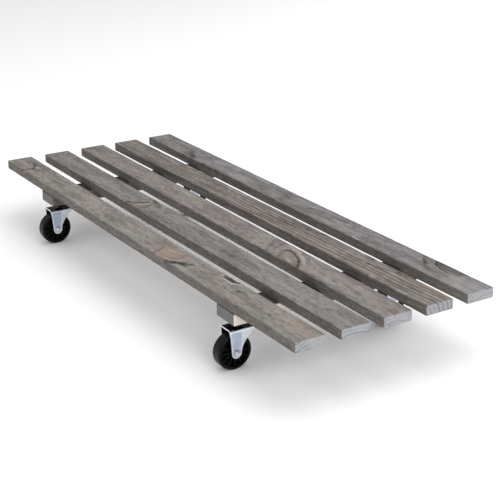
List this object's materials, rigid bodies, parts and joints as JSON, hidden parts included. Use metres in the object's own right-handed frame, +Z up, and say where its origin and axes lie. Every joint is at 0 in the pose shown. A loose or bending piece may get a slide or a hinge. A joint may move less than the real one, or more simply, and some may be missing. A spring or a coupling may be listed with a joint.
{
  "type": "plant caddy",
  "caption": "Long slatted wooden plant caddy: narrow boards laid with open gaps across two cross battens, on swivel casters with black wheels.",
  "frame": {"origin": "on the floor, under the middle of the caddy's outline with all four wheels swung towards the front", "axes": "+X along the slats, +Y across them towards the back, +Z up"},
  "size_m": [0.8902, 0.3415, 0.1015],
  "materials": {
    "stained_wood": "grey stained softwood, matt, visible grain",
    "zinc_steel": "bright zinc plated pressed steel",
    "screw_steel": "zinc plated screws",
    "black_cover": "black moulded cover, semi gloss",
    "black_plastic": "black moulded plastic, satin"
  },
  "bodies": {
    "deck": {"slat_1": "stained_wood", "slat_2": "stained_wood", "slat_3": "stained_wood", "slat_4": "stained_wood", "slat_5": "stained_wood", "batten_left": "stained_wood", "slat_screws_left": "screw_steel", "batten_right": "stained_wood", "slat_screws_right": "screw_steel", "plate_left_front": "zinc_steel", "plate_screws_left_front": "screw_steel", "kingpin_left_front": "zinc_steel", "kingpin_washer_left_front": "zinc_steel", "plate_left_back": "zinc_steel", "plate_screws_left_back": "screw_steel", "kingpin_left_back": "zinc_steel", "kingpin_washer_left_back": "zinc_steel", "plate_right_front": "zinc_steel", "plate_screws_right_front": "screw_steel", "kingpin_right_front": "zinc_steel", "kingpin_washer_right_front": "zinc_steel", "plate_right_back": "zinc_steel", "plate_screws_right_back": "screw_steel", "kingpin_right_back": "zinc_steel", "kingpin_washer_right_back": "zinc_steel"},
    "swivel_left_front": {"bearing_ring_left_front": "black_cover", "fork_left_front": "zinc_steel", "axle_bolt_left_front": "zinc_steel", "axle_nut_left_front": "zinc_steel", "axle_bush_left_front": "zinc_steel"},
    "roller_left_front": {"wheel_left_front": "black_plastic"},
    "swivel_left_back": {"bearing_ring_left_back": "black_cover", "fork_left_back": "zinc_steel", "axle_bolt_left_back": "zinc_steel", "axle_nut_left_back": "zinc_steel", "axle_bush_left_back": "zinc_steel"},
    "roller_left_back": {"wheel_left_back": "black_plastic"},
    "swivel_right_front": {"bearing_ring_right_front": "black_cover", "fork_right_front": "zinc_steel", "axle_bolt_right_front": "zinc_steel", "axle_nut_right_front": "zinc_steel", "axle_bush_right_front": "zinc_steel"},
    "roller_right_front": {"wheel_right_front": "black_plastic"},
    "swivel_right_back": {"bearing_ring_right_back": "black_cover", "fork_right_back": "zinc_steel", "axle_bolt_right_back": "zinc_steel", "axle_nut_right_back": "zinc_steel", "axle_bush_right_back": "zinc_steel"},
    "roller_right_back": {"wheel_right_back": "black_plastic"}
  },
  "joints": [
    {"name": "swivel_turn_left_front", "type": "hinge", "parent": "deck", "child": "swivel_left_front", "pos_m": [-0.276, -0.12535, 0.0641], "axis": [0, 0, 1], "continuous": true},
    {"name": "wheel_spin_left_front", "type": "hinge", "parent": "swivel_left_front", "child": "roller_left_front", "pos_m": [-0.276, -0.14535, 0.0254], "axis": [1, 0, 0], "continuous": true},
    {"name": "swivel_turn_left_back", "type": "hinge", "parent": "deck", "child": "swivel_left_back", "pos_m": [-0.276, 0.13986, 0.0641], "axis": [0, 0, 1], "continuous": true},
    {"name": "wheel_spin_left_back", "type": "hinge", "parent": "swivel_left_back", "child": "roller_left_back", "pos_m": [-0.276, 0.11986, 0.0254], "axis": [1, 0, 0], "continuous": true},
    {"name": "swivel_turn_right_front", "type": "hinge", "parent": "deck", "child": "swivel_right_front", "pos_m": [0.2867, -0.12238, 0.0641], "axis": [0, 0, 1], "continuous": true},
    {"name": "wheel_spin_right_front", "type": "hinge", "parent": "swivel_right_front", "child": "roller_right_front", "pos_m": [0.2867, -0.14238, 0.0254], "axis": [1, 0, 0], "continuous": true},
    {"name": "swivel_turn_right_back", "type": "hinge", "parent": "deck", "child": "swivel_right_back", "pos_m": [0.2867, 0.13689, 0.0641], "axis": [0, 0, 1], "continuous": true},
    {"name": "wheel_spin_right_back", "type": "hinge", "parent": "swivel_right_back", "child": "roller_right_back", "pos_m": [0.2867, 0.11689, 0.0254], "axis": [1, 0, 0], "continuous": true}
  ]
}
